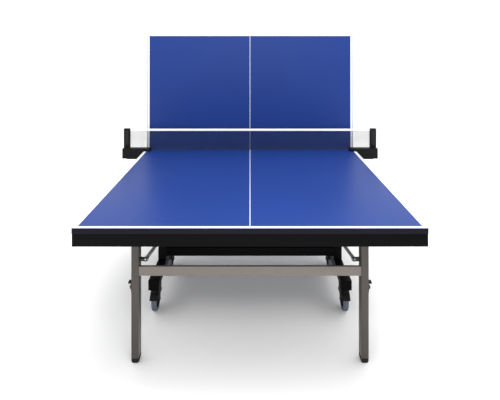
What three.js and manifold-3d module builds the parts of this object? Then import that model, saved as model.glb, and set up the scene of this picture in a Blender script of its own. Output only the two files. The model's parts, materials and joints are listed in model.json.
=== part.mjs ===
// A table tennis table in two halves, each on its own wheeled carriage, with a clamp-on net.
// The near half lies flat for play. The far half stands upright behind the net for solo practice.
// Millimetres, +Z up, X across the table, Y along it. The origin is on the floor, under the
// middle of the whole table.
//
// Each half is drawn flat in its own frame: y runs outward from the net line, z up from the floor.

import * as THREE from 'three';
import { mergeVertices } from 'three/addons/utils/BufferGeometryUtils.js';
import { RoundedBoxGeometry } from 'three/addons/geometries/RoundedBoxGeometry.js';
import Module from 'manifold-3d';

// ---- driving dimensions -------------------------------------------------------------------

// playing surface
const TABLE_WIDTH = 1525;
const HALF_LENGTH = 1370;
const SURFACE_HEIGHT = 760;
const BOARD_THICKNESS = 25;
const BOARD_CORNER = 6;

// steel frame under the board
const APRON_HEIGHT = 55;
const APRON_INSET = 2.5;
const APRON_SHEET = 3;
const APRON_FLANGE = 22;
const CLAMP_NOTCH = 75; // bare board left beside the net for the net clamps
const RAIL_WIDTH = 50;
const RAIL_HEIGHT = 35;
const RAIL_SHEET = 2.5;

// folding
const FOLDED_EDGE_HEIGHT = 238; // net-side edge of the board above the floor when folded up
const FOLDED_FACE_OFFSET = 0; // playing face of the folded board from its own net line
const FAR_STANDOFF = 52; // the far half stands this far behind the net line
const NEAR_TILT = 0;
const FAR_TILT = Math.PI / 2;

// carriage
const FRAME_X = 545;
const TUBE = 50;
const TUBE_WALL = 2.5;
const CASTER_NET_Y = 215;
const CASTER_END_Y = 700;
const RAIL_OVERHANG = 38;
const SOCKET_WIDTH = 60;
const SOCKET_LENGTH = 74;
const SOCKET_DROP = 2;
const POST_TOP = 330;
const BEAM_HEIGHT = 50;
const BEAM_LIFT = 21; // cross beams above the side rails

// casters
const WHEEL_RADIUS = 62.5;
const WHEEL_WIDTH = 32;
const WHEEL_SIDES = 20;
const TREAD_ROUND = 4;
const WHEEL_BORE = 5.6;
const AXLE_RADIUS = 5;
const CASTER_TRAIL = 26;
const HOOD_GAP = 3.5;
const HOOD_SHEET = 4.5;
const HOOD_SKIRT = 84; // the hood covers the wheel down to this height
const HOOD_WIDTH = 46;
const SWIVEL_RADIUS = 26;
const SWIVEL_HEIGHT = 16;
const STEM_RADIUS = 6;
const STEM_LENGTH = 20;

// legs
const LEG_WIDTH = 35;
const LEG_DEPTH = 55;
const LEG_WALL = 2;
const LEG_X = 554.5;
const LEG_INSET = 254; // front face of the leg from the end of the table
const LEG_PIVOT_DROP = 115; // leg pivot below the playing surface
const LEG_HEAD = 22;
const CROSSBAR_BOTTOM = 424;
const CROSSBAR_HEIGHT = 45;
const CROSSBAR_DEPTH = 14;
const CROSSBAR_SET_IN = 1; // crossbar face inward of the leg's outer face
const FOOT_HEIGHT = 25;
const FOOT_LIP = 1;
const FOOT_ROUND = 5;
const STUD_RADIUS = 6;
const STUD_LENGTH = 40;

// links that hold the legs upright while the board folds
const LINK_DROP = 160; // link pins below the leg pivot
const LINK_BACK = 15; // link pins on the net side of the leg pivot, clear of the crossbar
const LINK_WIDTH = 20;
const LINK_EYE = 12;
const LINK_THICKNESS = 8;
const LINK_CLEAR = 4; // link from the inner face of the carriage tube

// pins
const PIVOT_PIN = 9;
const LEG_PIN = 8;
const LINK_PIN = 6;
const PIN_HEAD = 5;
const RUNNING = 0.6; // radial clearance of a pin in its hole
const SIDE_PLAY = 1;
const TOUCH = 0.3; // gap where two pieces rest on each other

// storage catches on the legs
const CATCH_Z = 357;
const CATCH_PLATE = 5;
const CATCH_PAD = 13;

// net
const NET_HEIGHT = 152.5;
const NET_OVERHANG = 152.5; // net past each side of the table
const NET_TAPE = 15;
const NET_TAPE_THICKNESS = 4;
const NET_THICKNESS = 2;
const NET_LIFT = 1.5;
const POST_WIDTH = 44;
const POST_DEPTH = 26;
const ARM_REACH = 47; // clamp plate over the table
const ARM_HEIGHT = 20;
const CLAMP_DEPTH = 46;
const CLAMP_SET_IN = 8; // clamp from the net-side edge of the board
const CLAMP_DROP = 55;
const JAW_HEIGHT = 14;
const SCREW_RADIUS = 5;
const KNOB_RADIUS = 12;
const KNOB_HEIGHT = 20;

// ---- places worked out from the dimensions ------------------------------------------------

const HALF_WIDTH = TABLE_WIDTH / 2;
const BOARD_UNDER = SURFACE_HEIGHT - BOARD_THICKNESS;
const APRON_UNDER = BOARD_UNDER - APRON_HEIGHT;
const FRAME_TOP = BOARD_UNDER - TOUCH;

// A quarter turn about this pivot lays the board's face on FOLDED_FACE_OFFSET, edge down.
const PIVOT = {
  y: (SURFACE_HEIGHT + FOLDED_FACE_OFFSET - FOLDED_EDGE_HEIGHT) / 2,
  z: (SURFACE_HEIGHT + FOLDED_FACE_OFFSET + FOLDED_EDGE_HEIGHT) / 2,
};
const LEG_FRONT = HALF_LENGTH - LEG_INSET;
const LEG_BACK = LEG_FRONT - LEG_DEPTH;
const LEG_PIVOT = { y: (LEG_FRONT + LEG_BACK) / 2, z: SURFACE_HEIGHT - LEG_PIVOT_DROP };
// The two link pins repeat the offset from the board pivot to the leg pivot: a parallelogram.
const LINK_AT_CARRIAGE = { y: PIVOT.y - LINK_BACK, z: PIVOT.z - LINK_DROP };
const LINK_AT_LEG = { y: LEG_PIVOT.y - LINK_BACK, z: LEG_PIVOT.z - LINK_DROP };

const LINK_X = FRAME_X - TUBE / 2 - LINK_CLEAR - LINK_THICKNESS / 2;

const SOCKET_UNDER = 2 * WHEEL_RADIUS + HOOD_GAP + SWIVEL_HEIGHT;
const RAIL_UNDER = SOCKET_UNDER + SOCKET_DROP;
const RAIL_TOP = RAIL_UNDER + TUBE;
const BEAM_BOTTOM = RAIL_TOP + BEAM_LIFT;
const POST_Y = (CASTER_NET_Y + CASTER_END_Y) / 2;
const NET_TOP = SURFACE_HEIGHT + NET_HEIGHT;
const POST_OUTER = HALF_WIDTH + NET_OVERHANG;
const POST_INNER = POST_OUTER - POST_WIDTH;
const CLAMP_Y = CLAMP_SET_IN + CLAMP_DEPTH / 2;

// ---- finishes -----------------------------------------------------------------------------

const FINISHES = {
  board: { color: 0x27479c, roughness: 0.55, metalness: 0 },
  frame: { color: 0x15151a, roughness: 0.5, metalness: 0.4 },
  leg: { color: 0x6e6662, roughness: 0.4, metalness: 0.6 },
  link: { color: 0x9a9a98, roughness: 0.35, metalness: 0.9 },
  plastic: { color: 0x101012, roughness: 0.45, metalness: 0 },
  tread: { color: 0x4a505e, roughness: 0.7, metalness: 0 },
  rubber: { color: 0x0c0c0d, roughness: 0.8, metalness: 0 },
  net: { color: 0x1a2240, roughness: 0.9, metalness: 0 },
  tape: { color: 0xf2f2f0, roughness: 0.8, metalness: 0 },
};

// ---- solids -------------------------------------------------------------------------------

const wasm = await Module();
wasm.setup();

function solidOf(geometry) {
  const bare = geometry.clone();
  bare.deleteAttribute('normal');
  bare.deleteAttribute('uv');
  const merged = mergeVertices(bare, 1e-3);
  const mesh = new wasm.Mesh({
    numProp: 3,
    vertProperties: new Float32Array(merged.getAttribute('position').array),
    triVerts: new Uint32Array(merged.getIndex().array),
  });
  return new wasm.Manifold(mesh);
}

function geometryOf(solid) {
  const mesh = solid.getMesh();
  const geometry = new THREE.BufferGeometry();
  geometry.setAttribute('position', new THREE.BufferAttribute(mesh.vertProperties, 3));
  geometry.setIndex(new THREE.BufferAttribute(mesh.triVerts, 1));
  return geometry;
}

// A block between two values on each axis, given in either order.
function block([x0, x1], [y0, y1], [z0, z1]) {
  const box = new THREE.BoxGeometry(Math.abs(x1 - x0), Math.abs(y1 - y0), Math.abs(z1 - z0));
  box.translate((x0 + x1) / 2, (y0 + y1) / 2, (z0 + z1) / 2);
  return solidOf(box);
}

// A round bar along X from x0 to x1.
function barX(radius, [x0, x1], y, z, sides = 12) {
  const bar = new THREE.CylinderGeometry(radius, radius, Math.abs(x1 - x0), sides);
  bar.rotateZ(Math.PI / 2);
  bar.translate((x0 + x1) / 2, y, z);
  return solidOf(bar);
}

// A round bar along Z from z0 to z1.
function barZ(radius, x, y, [z0, z1], sides = 12) {
  const bar = new THREE.CylinderGeometry(radius, radius, Math.abs(z1 - z0), sides);
  bar.rotateX(Math.PI / 2);
  bar.translate(x, y, (z0 + z1) / 2);
  return solidOf(bar);
}

// A plate with its outline in the YZ plane, between two X values.
function plateX(outline, [x0, x1]) {
  const plate = new THREE.ExtrudeGeometry(outline, {
    depth: Math.abs(x1 - x0),
    bevelEnabled: false,
    curveSegments: 8,
  });
  plate.applyMatrix4(new THREE.Matrix4().set(0, 0, 1, 0, 1, 0, 0, 0, 0, 1, 0, 0, 0, 0, 0, 1));
  plate.translate(Math.min(x0, x1), 0, 0);
  return solidOf(plate);
}

function joined(solids) {
  return solids.reduce((whole, solid) => whole.add(solid));
}

// ---- scene graph --------------------------------------------------------------------------

function addPiece(group, name, solid, finish) {
  const mesh = new THREE.Mesh(geometryOf(solid), new THREE.MeshStandardMaterial(finish));
  mesh.name = name;
  group.add(mesh);
}

// A group turned by an angle about the X line through a point, still drawn in flat coordinates.
function turnedGroup(parent, point, angle) {
  const hinge = new THREE.Group();
  hinge.position.set(0, point.y, point.z);
  hinge.rotation.x = angle;
  const flat = new THREE.Group();
  flat.position.set(0, -point.y, -point.z);
  hinge.add(flat);
  parent.add(hinge);
  return flat;
}

// The two sides of a half, with the names they have in the whole table.
function sidesOf(half) {
  return [-1, 1].map((sign) => ({ sign, label: sign * half.facing < 0 ? 'left' : 'right' }));
}

// ---- the top ------------------------------------------------------------------------------

function makeBoard() {
  const r = BOARD_CORNER;
  const outline = new THREE.Shape();
  outline.moveTo(-HALF_WIDTH + r, 0);
  outline.lineTo(HALF_WIDTH - r, 0);
  outline.absarc(HALF_WIDTH - r, r, r, -Math.PI / 2, 0);
  outline.lineTo(HALF_WIDTH, HALF_LENGTH - r);
  outline.absarc(HALF_WIDTH - r, HALF_LENGTH - r, r, 0, Math.PI / 2);
  outline.lineTo(-HALF_WIDTH + r, HALF_LENGTH);
  outline.absarc(-HALF_WIDTH + r, HALF_LENGTH - r, r, Math.PI / 2, Math.PI);
  outline.lineTo(-HALF_WIDTH, r);
  outline.absarc(-HALF_WIDTH + r, r, r, Math.PI, 1.5 * Math.PI);
  const board = new THREE.ExtrudeGeometry(outline, {
    depth: BOARD_THICKNESS,
    bevelEnabled: false,
    curveSegments: 3,
  });
  board.translate(0, 0, BOARD_UNDER);
  return solidOf(board);
}

// A channel across the frame, open towards the board.
function makeRail(y) {
  const reach = HALF_WIDTH - APRON_INSET - APRON_SHEET / 2;
  const low = FRAME_TOP - RAIL_HEIGHT;
  const half = RAIL_WIDTH / 2;
  const outer = block([-reach, reach], [y - half, y + half], [low, FRAME_TOP]);
  const inner = block(
    [-reach - 1, reach + 1],
    [y - half + RAIL_SHEET, y + half - RAIL_SHEET],
    [low + RAIL_SHEET, FRAME_TOP + 1],
  );
  return outer.subtract(inner);
}

// Two cheeks and a pin that carry the head of one leg.
function makeLegBracket(sign) {
  const cheekTop = FRAME_TOP - RAIL_HEIGHT + 1;
  const inside = LEG_X - LEG_WIDTH / 2 - 4;
  const outside = LEG_X + LEG_WIDTH / 2 + 4;
  const cheekY = [LEG_PIVOT.y - 18, LEG_PIVOT.y + 18];
  const cheekZ = [LEG_PIVOT.z - 16, cheekTop];
  return joined([
    block([sign * (inside - 5), sign * inside], cheekY, cheekZ),
    block([sign * outside, sign * (outside + 5)], cheekY, cheekZ),
    barX(LEG_PIN, [sign * (inside - 1), sign * (outside + 1)], LEG_PIVOT.y, LEG_PIVOT.z),
  ]);
}

function makeTopFrame() {
  const x = HALF_WIDTH - APRON_INSET;
  const y0 = CLAMP_NOTCH;
  const y1 = HALF_LENGTH - APRON_INSET;
  const wall = APRON_SHEET;
  const ring = block([-x, x], [y0, y1], [APRON_UNDER, FRAME_TOP])
    .subtract(block(
      [-x + wall, x - wall],
      [y0 + wall, y1 - wall],
      [APRON_UNDER + wall, FRAME_TOP + 1],
    ))
    .subtract(block(
      [-x + APRON_FLANGE, x - APRON_FLANGE],
      [y0 + APRON_FLANGE, y1 - APRON_FLANGE],
      [APRON_UNDER - 1, APRON_UNDER + wall + 1],
    ));
  return joined([
    ring,
    makeRail(PIVOT.y),
    makeRail(LEG_PIVOT.y),
    makeLegBracket(-1),
    makeLegBracket(1),
  ]);
}

// A flanged plate under the frame that carries the board on its carriage pivot.
function makePivotArm(sign) {
  const flangeTop = FRAME_TOP - RAIL_HEIGHT - TOUCH;
  const flangeUnder = flangeTop - 6;
  const inside = FRAME_X + TUBE / 2 + SIDE_PLAY;
  const web = [sign * inside, sign * (inside + LINK_THICKNESS)];
  const eye = 24;
  const shoulder = 30;
  const outline = new THREE.Shape();
  outline.moveTo(PIVOT.y - shoulder, flangeUnder + 1);
  outline.lineTo(PIVOT.y - eye, PIVOT.z);
  outline.absarc(PIVOT.y, PIVOT.z, eye, Math.PI, 2 * Math.PI);
  outline.lineTo(PIVOT.y + shoulder, flangeUnder + 1);
  const flange = block(
    [web[0] - sign * 22, web[1] + sign * 22],
    [PIVOT.y - shoulder, PIVOT.y + shoulder],
    [flangeUnder, flangeTop],
  );
  const hole = barX(PIVOT_PIN + RUNNING, [web[0] - sign, web[1] + sign], PIVOT.y, PIVOT.z);
  return flange.add(plateX(outline, web)).subtract(hole);
}

// ---- the carriage -------------------------------------------------------------------------

// One welded side: a rail, a post and the upright with the board's pivot pin.
function makeSideFrame(sign) {
  const x = sign * FRAME_X;
  const half = TUBE / 2;
  const wide = [x - half, x + half];
  const bore = [x - half + TUBE_WALL, x + half - TUBE_WALL];
  const y0 = CASTER_NET_Y - RAIL_OVERHANG;
  const y1 = CASTER_END_Y + RAIL_OVERHANG;
  const uprightTop = PIVOT.z + 28;
  const inset = half - TUBE_WALL;
  const outer = joined([
    block(wide, [y0, y1], [RAIL_UNDER, RAIL_TOP]),
    block(wide, [POST_Y - half, POST_Y + half], [RAIL_TOP - 1, POST_TOP]),
    block(wide, [PIVOT.y - half, PIVOT.y + half], [RAIL_TOP - 1, uprightTop]),
    block(wide, [PIVOT.y, POST_Y], [POST_TOP - TUBE, POST_TOP]),
  ]);
  const hollow = joined([
    block(bore, [y0 - 1, y1 + 1], [RAIL_UNDER + TUBE_WALL, RAIL_TOP - TUBE_WALL]),
    block(bore, [POST_Y - inset, POST_Y + inset], [RAIL_UNDER + half, POST_TOP - TUBE_WALL]),
    block(bore, [PIVOT.y - inset, PIVOT.y + inset], [RAIL_UNDER + half, uprightTop + 1]),
  ]);
  const casterPlaces = [CASTER_NET_Y, CASTER_END_Y];
  const sockets = casterPlaces.map((y) => makeSocket(x, y));
  const stemHoles = casterPlaces.map((y) => barZ(
    STEM_RADIUS + RUNNING, x, y, [SOCKET_UNDER - 1, SOCKET_UNDER + STEM_LENGTH + 2],
  ));
  const inner = sign * (FRAME_X - half);
  const outerFace = sign * (FRAME_X + half);
  const headAt = outerFace + sign * (2 * SIDE_PLAY + LINK_THICKNESS);
  const linkHead = sign * (LINK_X - LINK_THICKNESS / 2 - SIDE_PLAY);
  const spacer = sign * (LINK_X + LINK_THICKNESS / 2 + SIDE_PLAY);
  const { y, z } = LINK_AT_CARRIAGE;
  return joined([
    outer.subtract(hollow),
    ...sockets,
    barX(PIVOT_PIN, [outerFace - sign * TUBE_WALL, headAt + sign], PIVOT.y, PIVOT.z),
    barX(PIVOT_PIN + 6, [headAt, headAt + sign * PIN_HEAD], PIVOT.y, PIVOT.z),
    barX(LINK_PIN + 4, [inner + sign * TUBE_WALL, spacer], y, z),
    barX(LINK_PIN, [inner, linkHead - sign], y, z),
    barX(LINK_PIN + 4, [linkHead, linkHead - sign * PIN_HEAD], y, z),
  ]).subtract(joined(stemHoles));
}

// The block under each end of a side rail that takes a caster's stem.
function makeSocket(x, y) {
  const half = SOCKET_WIDTH / 2;
  return block(
    [x - half, x + half],
    [y - SOCKET_LENGTH / 2, y + SOCKET_LENGTH / 2],
    [SOCKET_UNDER, RAIL_TOP + SOCKET_DROP],
  );
}

// A tube between the two side frames, open at both ends.
function makeCrossBeam(y) {
  const x = FRAME_X - TUBE / 2 - TOUCH;
  const half = TUBE / 2;
  const inset = half - TUBE_WALL;
  const outer = block([-x, x], [y - half, y + half], [BEAM_BOTTOM, BEAM_BOTTOM + BEAM_HEIGHT]);
  const bore = block(
    [-x - 1, x + 1],
    [y - inset, y + inset],
    [BEAM_BOTTOM + TUBE_WALL, BEAM_BOTTOM + BEAM_HEIGHT - TUBE_WALL],
  );
  return outer.subtract(bore);
}

// ---- casters ------------------------------------------------------------------------------

// The swivelling hood, drawn about its own stem at x = y = 0. The wheel trails behind.
function makeCasterFork() {
  const axleY = -CASTER_TRAIL;
  const halfHood = HOOD_WIDTH / 2;
  const wide = [-halfHood, halfHood];
  const innerRadius = WHEEL_RADIUS + HOOD_GAP;
  const outerRadius = innerRadius + HOOD_SHEET;
  const cavity = halfHood - HOOD_SHEET;
  const dome = barX(outerRadius, wide, axleY, WHEEL_RADIUS, WHEEL_SIDES);
  const above = block(
    [-HOOD_WIDTH, HOOD_WIDTH],
    [axleY - 2 * outerRadius, axleY + 2 * outerRadius],
    [HOOD_SKIRT, HOOD_SKIRT + 2 * outerRadius],
  );
  const cheek = block(wide, [axleY - 15, axleY + 15], [WHEEL_RADIUS, HOOD_SKIRT + 5]);
  const boss = barX(15, wide, axleY, WHEEL_RADIUS);
  const shell = joined([dome.intersect(above), cheek, boss])
    .subtract(barX(innerRadius, [-cavity, cavity], axleY, WHEEL_RADIUS, WHEEL_SIDES));
  const head = [SOCKET_UNDER - SWIVEL_HEIGHT, SOCKET_UNDER - 0.5];
  const stem = [SOCKET_UNDER - 1, SOCKET_UNDER + STEM_LENGTH];
  return joined([
    shell,
    barX(AXLE_RADIUS, [-halfHood - 2, halfHood + 2], axleY, WHEEL_RADIUS),
    barZ(SWIVEL_RADIUS, 0, 0, head, 16),
    barZ(STEM_RADIUS, 0, 0, stem),
  ]);
}

function makeWheel() {
  const edge = WHEEL_WIDTH / 2;
  const profile = [
    [WHEEL_BORE, -edge],
    [WHEEL_RADIUS - TREAD_ROUND, -edge],
    [WHEEL_RADIUS, -edge + TREAD_ROUND],
    [WHEEL_RADIUS, edge - TREAD_ROUND],
    [WHEEL_RADIUS - TREAD_ROUND, edge],
    [WHEEL_BORE, edge],
    [WHEEL_BORE, -edge],
  ].map(([radius, across]) => new THREE.Vector2(radius, across));
  const wheel = new THREE.LatheGeometry(profile, WHEEL_SIDES);
  wheel.rotateZ(Math.PI / 2);
  wheel.translate(0, -CASTER_TRAIL, WHEEL_RADIUS);
  return solidOf(wheel);
}

// ---- legs ---------------------------------------------------------------------------------

function makeLeg(sign) {
  const half = LEG_WIDTH / 2;
  const inner = sign * (LEG_X - half);
  const outer = sign * (LEG_X + half);
  const bore = [inner + sign * LEG_WALL, outer - sign * LEG_WALL];
  const bottom = FOOT_HEIGHT + TOUCH;
  const top = LEG_PIVOT.z + LEG_HEAD;
  const tube = block([inner, outer], [LEG_BACK, LEG_FRONT], [bottom, top]).subtract(
    block(bore, [LEG_BACK + LEG_WALL, LEG_FRONT - LEG_WALL], [bottom - 1, top - LEG_WALL]),
  );
  const hole = barX(LEG_PIN + RUNNING, [inner - sign, outer + sign], LEG_PIVOT.y, LEG_PIVOT.z);
  const { y, z } = LINK_AT_LEG;
  const spacer = sign * (LINK_X + LINK_THICKNESS / 2 + SIDE_PLAY);
  const head = sign * (LINK_X - LINK_THICKNESS / 2 - SIDE_PLAY);
  const catchEnd = outer + sign * (CATCH_PLATE + 2 * SIDE_PLAY);
  return joined([
    tube.subtract(hole),
    barX(LINK_PIN + 4, [inner + sign, spacer], y, z),
    barX(LINK_PIN, [inner, head - sign], y, z),
    barX(LINK_PIN + 4, [head, head - sign * PIN_HEAD], y, z),
    barX(LINK_PIN, [outer - sign, catchEnd + sign], LEG_PIVOT.y, CATCH_Z),
    barX(LINK_PIN + 4, [catchEnd, catchEnd + sign * PIN_HEAD], LEG_PIVOT.y, CATCH_Z),
  ]);
}

function makeCrossbar() {
  const x = LEG_X - LEG_WIDTH / 2 - TOUCH;
  const y1 = LEG_FRONT - CROSSBAR_SET_IN;
  const y0 = y1 - CROSSBAR_DEPTH;
  const top = CROSSBAR_BOTTOM + CROSSBAR_HEIGHT;
  return block([-x, x], [y0, y1], [CROSSBAR_BOTTOM, top]).subtract(block(
    [-x - 1, x + 1],
    [y0 + LEG_WALL, y1 - LEG_WALL],
    [CROSSBAR_BOTTOM + LEG_WALL, top - LEG_WALL],
  ));
}

function makeFoot(sign) {
  const x = sign * LEG_X;
  const shoe = new RoundedBoxGeometry(
    LEG_WIDTH + 2 * FOOT_LIP, LEG_DEPTH + 2 * FOOT_LIP, FOOT_HEIGHT, 1, FOOT_ROUND,
  );
  shoe.translate(x, LEG_PIVOT.y, FOOT_HEIGHT / 2);
  const stud = barZ(STUD_RADIUS, x, LEG_PIVOT.y, [FOOT_HEIGHT - 2, FOOT_HEIGHT + STUD_LENGTH]);
  return solidOf(shoe).add(stud);
}

// A swinging catch that hooks the folded leg to its neighbour in storage.
function makeCatch(sign) {
  const face = LEG_X + LEG_WIDTH / 2 + SIDE_PLAY;
  const plate = [sign * face, sign * (face + CATCH_PLATE)];
  const centre = LEG_PIVOT.y;
  const outline = new THREE.Shape();
  outline.moveTo(centre - 9, CATCH_Z - 22);
  outline.lineTo(centre + 4, CATCH_Z - 30);
  outline.lineTo(centre + 12, CATCH_Z - 12);
  outline.lineTo(centre + 12, CATCH_Z + 30);
  outline.lineTo(centre - 12, CATCH_Z + 36);
  outline.lineTo(centre - 12, CATCH_Z);
  const pad = block(
    [plate[1] - sign, plate[1] + sign * CATCH_PAD],
    [centre - 11, centre + 11],
    [CATCH_Z + 20, CATCH_Z + 29],
  );
  const hole = barX(LINK_PIN + RUNNING, [plate[0] - sign, plate[1] + sign], centre, CATCH_Z);
  return plateX(outline, plate).add(pad).subtract(hole);
}

// A flat bar with an eye at each end, from the carriage pin to the leg pin.
function makeLink(sign) {
  const across = [
    sign * (LINK_X - LINK_THICKNESS / 2),
    sign * (LINK_X + LINK_THICKNESS / 2),
  ];
  const dy = LINK_AT_LEG.y - LINK_AT_CARRIAGE.y;
  const dz = LINK_AT_LEG.z - LINK_AT_CARRIAGE.z;
  const length = Math.hypot(dy, dz);
  const offY = ((-dz / length) * LINK_WIDTH) / 2;
  const offZ = ((dy / length) * LINK_WIDTH) / 2;
  const outline = new THREE.Shape();
  outline.moveTo(LINK_AT_CARRIAGE.y + offY, LINK_AT_CARRIAGE.z + offZ);
  outline.lineTo(LINK_AT_CARRIAGE.y - offY, LINK_AT_CARRIAGE.z - offZ);
  outline.lineTo(LINK_AT_LEG.y - offY, LINK_AT_LEG.z - offZ);
  outline.lineTo(LINK_AT_LEG.y + offY, LINK_AT_LEG.z + offZ);
  const ends = [LINK_AT_CARRIAGE, LINK_AT_LEG];
  const eyes = ends.map(({ y, z }) => barX(LINK_EYE, across, y, z));
  const holes = ends.map(({ y, z }) => barX(
    LINK_PIN + RUNNING, [across[0] - sign, across[1] + sign], y, z,
  ));
  return joined([plateX(outline, across), ...eyes]).subtract(joined(holes));
}

// ---- net ----------------------------------------------------------------------------------

// The post, the plate over the board, and the bracket that reaches round its edge.
function makeNetPost(sign) {
  const clampY = [CLAMP_SET_IN, CLAMP_SET_IN + CLAMP_DEPTH];
  const postY = [-POST_DEPTH / 2, POST_DEPTH / 2];
  const jawTip = HALF_WIDTH - ARM_REACH;
  const edge = HALF_WIDTH + 4;
  const plateUnder = SURFACE_HEIGHT + TOUCH;
  const low = SURFACE_HEIGHT - CLAMP_DROP;
  const jaw = [low, low + JAW_HEIGHT];
  const screwX = sign * (jawTip + 22);
  const hole = barZ(SCREW_RADIUS + RUNNING, screwX, CLAMP_Y, [low - 1, jaw[1] + 1]);
  return joined([
    block([sign * POST_INNER, sign * POST_OUTER], postY, [plateUnder, NET_TOP + 1]),
    block([sign * (POST_INNER + 6), sign * POST_OUTER], [0, clampY[1]], [low + 4, plateUnder + 20]),
    block([sign * jawTip, sign * (POST_INNER + 12)], clampY, [plateUnder, plateUnder + ARM_HEIGHT]),
    block([sign * edge, sign * (POST_INNER + 12)], clampY, [low, plateUnder + 1]),
    block([sign * jawTip, sign * (edge + 2)], clampY, jaw),
  ]).subtract(hole);
}

// The thumb screw that presses a pad up against the board.
function makeClampScrew(sign) {
  const x = sign * (HALF_WIDTH - ARM_REACH + 22);
  const low = SURFACE_HEIGHT - CLAMP_DROP;
  const jawTop = low + JAW_HEIGHT;
  const knob = [low - 3 - KNOB_HEIGHT, low - 3];
  return joined([
    barZ(KNOB_RADIUS, x, CLAMP_Y, knob, 12),
    barZ(SCREW_RADIUS, x, CLAMP_Y, [low - 4, jawTop + 6]),
    barZ(SCREW_RADIUS + 5, x, CLAMP_Y, [jawTop + 5, BOARD_UNDER - TOUCH]),
  ]);
}

function makeNetSheet() {
  const x = POST_INNER - TOUCH;
  const half = NET_THICKNESS / 2;
  const top = NET_TOP - NET_TAPE - TOUCH;
  return block([-x, x], [-half, half], [SURFACE_HEIGHT + NET_LIFT, top]);
}

function makeNetTape() {
  const x = POST_INNER - TOUCH;
  const half = NET_TAPE_THICKNESS / 2;
  return block([-x, x], [-half, half], [NET_TOP - NET_TAPE, NET_TOP]);
}

// ---- assembly -----------------------------------------------------------------------------

function addCasters(group, half) {
  for (const [place, y] of [['net', CASTER_NET_Y], ['end', CASTER_END_Y]]) {
    for (const { sign, label } of sidesOf(half)) {
      const caster = new THREE.Group();
      caster.position.set(sign * FRAME_X, y, 0);
      addPiece(caster, `${half.name}_caster_${place}_${label}`, makeCasterFork(), FINISHES.plastic);
      addPiece(caster, `${half.name}_wheel_${place}_${label}`, makeWheel(), FINISHES.tread);
      group.add(caster);
    }
  }
}

function addCarriage(group, half) {
  for (const { sign, label } of sidesOf(half)) {
    addPiece(group, `${half.name}_side_frame_${label}`, makeSideFrame(sign), FINISHES.frame);
  }
  addPiece(group, `${half.name}_middle_beam`, makeCrossBeam(POST_Y), FINISHES.frame);
  addPiece(group, `${half.name}_net_side_beam`, makeCrossBeam(PIVOT.y), FINISHES.frame);
}

function addLegs(group, half) {
  for (const { sign, label } of sidesOf(half)) {
    addPiece(group, `${half.name}_leg_${label}`, makeLeg(sign), FINISHES.leg);
    addPiece(group, `${half.name}_foot_${label}`, makeFoot(sign), FINISHES.rubber);
    addPiece(group, `${half.name}_catch_${label}`, makeCatch(sign), FINISHES.plastic);
  }
  addPiece(group, `${half.name}_leg_crossbar`, makeCrossbar(), FINISHES.leg);
}

function addTop(group, half) {
  addPiece(group, `${half.name}_tabletop`, makeBoard(), FINISHES.board);
  addPiece(group, `${half.name}_top_frame`, makeTopFrame(), FINISHES.frame);
  for (const { sign, label } of sidesOf(half)) {
    addPiece(group, `${half.name}_pivot_arm_${label}`, makePivotArm(sign), FINISHES.frame);
  }
}

function addNet(group, half) {
  for (const { sign, label } of sidesOf(half)) {
    addPiece(group, `net_post_${label}`, makeNetPost(sign), FINISHES.plastic);
    addPiece(group, `net_screw_${label}`, makeClampScrew(sign), FINISHES.plastic);
  }
  addPiece(group, 'net_sheet', makeNetSheet(), FINISHES.net);
  addPiece(group, 'net_tape', makeNetTape(), FINISHES.tape);
}

function addHalf(table, half) {
  const group = new THREE.Group();
  group.rotation.z = half.facing < 0 ? Math.PI : 0;
  group.position.y = half.standoff;
  table.add(group);
  addCarriage(group, half);
  addCasters(group, half);
  const links = turnedGroup(group, LINK_AT_CARRIAGE, half.tilt);
  for (const { sign, label } of sidesOf(half)) {
    addPiece(links, `${half.name}_link_${label}`, makeLink(sign), FINISHES.link);
  }
  const top = turnedGroup(group, PIVOT, half.tilt);
  addTop(top, half);
  if (half.carriesNet) {
    addNet(top, half);
  }
  addLegs(turnedGroup(top, LEG_PIVOT, -half.tilt), half);
}

const table = new THREE.Group();
addHalf(table, { name: 'near', facing: -1, standoff: 0, tilt: NEAR_TILT, carriesNet: true });
addHalf(table, { name: 'far', facing: 1, standoff: FAR_STANDOFF, tilt: FAR_TILT, carriesNet: false });

// Stand the whole table on the origin: floor at z = 0, middle of its length at y = 0.
const extent = new THREE.Box3().setFromObject(table, true);
table.position.y = -(extent.min.y + extent.max.y) / 2;

const assembly = new THREE.Group();
assembly.add(table);

export default assembly;
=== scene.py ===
# %% [markdown]
# # A folding ping pong table
# The table stands in its solo-practice position: the near half lies flat and the far half stands
# up behind the net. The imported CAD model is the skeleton. Everything here dresses it: rounded
# edges, paint, a knotted net, casters with their hoods, screws and feet.
# The file reads from top to bottom as a lesson. Each step says what the real thing is, how it
# could be made, and why this way was picked.

# %% Load the fixed frame
import json
import math

import bmesh
import bpy
from mathutils import Matrix, Vector


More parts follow.
